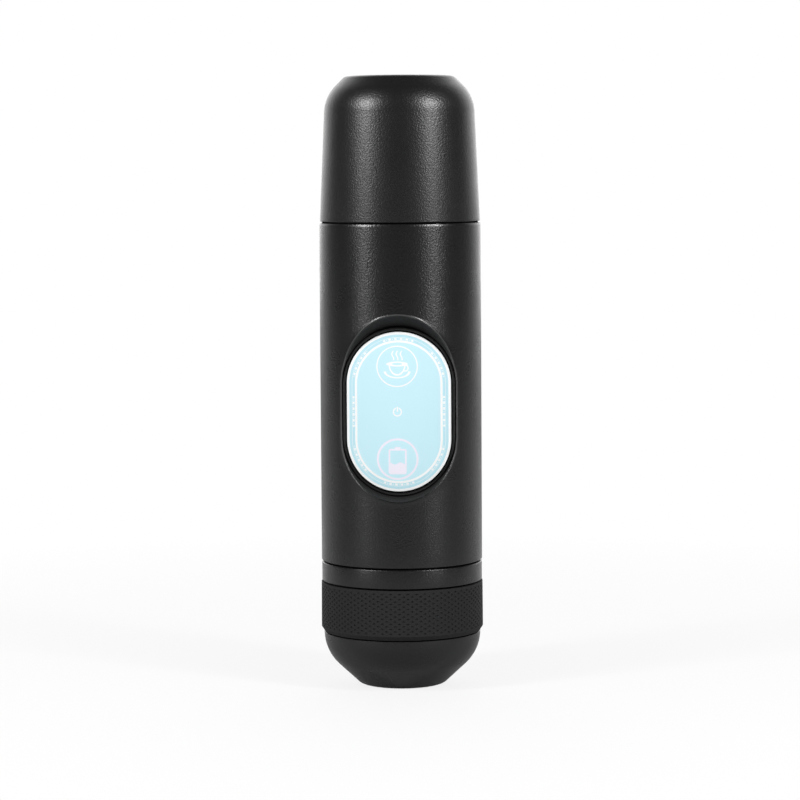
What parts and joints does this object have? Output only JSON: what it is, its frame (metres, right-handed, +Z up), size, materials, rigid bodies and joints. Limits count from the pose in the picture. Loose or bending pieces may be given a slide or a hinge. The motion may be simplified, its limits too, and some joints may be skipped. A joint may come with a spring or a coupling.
{
  "type": "portable coffee maker",
  "caption": "Bottle-shaped cordless coffee maker: domed screw-on water tank, pump housing with a large oval push button, coffee collar with basket and spout, and a knurled drinking cup below.",
  "frame": {"origin": "centre of the cup's flat base, on the surface that the object stands on", "axes": "+Z up along the object's axis, button facing -Y, charging socket facing +Y"},
  "size_m": [0.0624, 0.0624, 0.234],
  "materials": {
    "black_shell": "satin black with a fine moulded grain",
    "grip_rubber": "matte black with a diamond knurl",
    "seal_rubber": "matte black",
    "bezel_black": "satin black",
    "button_white": "smooth white",
    "film_blue": "smooth printed film, pale blue with a white frame",
    "flap_rubber": "satin black",
    "inner_plastic": "dark grey moulding",
    "pump_plastic": "pale grey moulding",
    "silicone": "milky silicone",
    "steel": "brushed",
    "motor_can": "zinc plated",
    "brass": "turned",
    "board_green": "solder mask",
    "switch_black": "moulded",
    "plunger_red": "moulded",
    "led_clear": "clear",
    "cell_wrap": "shrink wrap",
    "foam": "closed-cell foam"
  },
  "bodies": {
    "housing": {"body_shell": "black_shell", "tank_neck": "inner_plastic", "inlet_filter": "steel", "inlet_tube": "silicone", "inlet_elbow": "inner_plastic", "chassis": "inner_plastic", "pump_head": "pump_plastic", "pump_screws": "steel", "motor": "motor_can", "motor_screws": "steel", "outlet_seal": "seal_rubber", "brew_head": "inner_plastic", "shower_plate": "steel", "shower_screws": "steel", "group_seal": "seal_rubber", "button_bezel": "bezel_black", "control_board": "board_green", "board_screws": "steel", "tact_switch": "switch_black", "indicator_leds": "led_clear", "battery_cells": "cell_wrap", "cell_pad": "foam", "charge_board": "board_green", "charge_screws": "steel", "usb_port": "steel"},
    "tank_seal": {"tank_gasket": "seal_rubber"},
    "tank": {"water_tank": "black_shell"},
    "drive": {"motor_shaft": "steel", "drive_coupling": "brass"},
    "button": {"button_panel": "button_white", "button_film": "film_blue", "button_clips": "steel", "switch_plunger": "plunger_red"},
    "usb_flap": {"usb_cover": "flap_rubber"},
    "collar_seal": {"collar_gasket": "seal_rubber"},
    "collar": {"brew_collar": "black_shell", "filter_basket": "steel", "basket_screen": "steel"},
    "cup_seal": {"cup_gasket": "seal_rubber"},
    "cup": {"cup_bowl": "black_shell", "grip_band": "grip_rubber"}
  },
  "joints": [
    {"name": "tank_lift", "type": "slide", "parent": "housing", "child": "tank_seal", "axis": [0, 0, 1], "range_m": [0, 0.06]},
    {"name": "tank_turn", "type": "hinge", "parent": "tank_seal", "child": "tank", "pos_m": [0, 0, 0.2], "axis": [0, 0, 1], "range_deg": [0, 120]},
    {"name": "button_press", "type": "slide", "parent": "housing", "child": "button", "axis": [0, 1, 0], "range_m": [0, 0.0008], "stiffness_N_per_m": 3000},
    {"name": "drive_spin", "type": "hinge", "parent": "housing", "child": "drive", "pos_m": [0, 0, 0.09], "axis": [0, 0, 1], "continuous": true},
    {"name": "cover_swing", "type": "hinge", "parent": "housing", "child": "usb_flap", "pos_m": [0, 0.02955, 0.1352], "axis": [-1, 0, 0], "range_deg": [0, 100]},
    {"name": "collar_drop", "type": "slide", "parent": "housing", "child": "collar_seal", "axis": [0, 0, -1], "range_m": [0, 0.055]},
    {"name": "collar_turn", "type": "hinge", "parent": "collar_seal", "child": "collar", "pos_m": [0, 0, 0.043], "axis": [0, 0, -1], "range_deg": [0, 120]},
    {"name": "cup_drop", "type": "slide", "parent": "collar", "child": "cup_seal", "axis": [0, 0, -1], "range_m": [0, 0.05]},
    {"name": "cup_turn", "type": "hinge", "parent": "cup_seal", "child": "cup", "pos_m": [0, 0, 0.02], "axis": [0, 0, -1], "range_deg": [0, 120]}
  ]
}
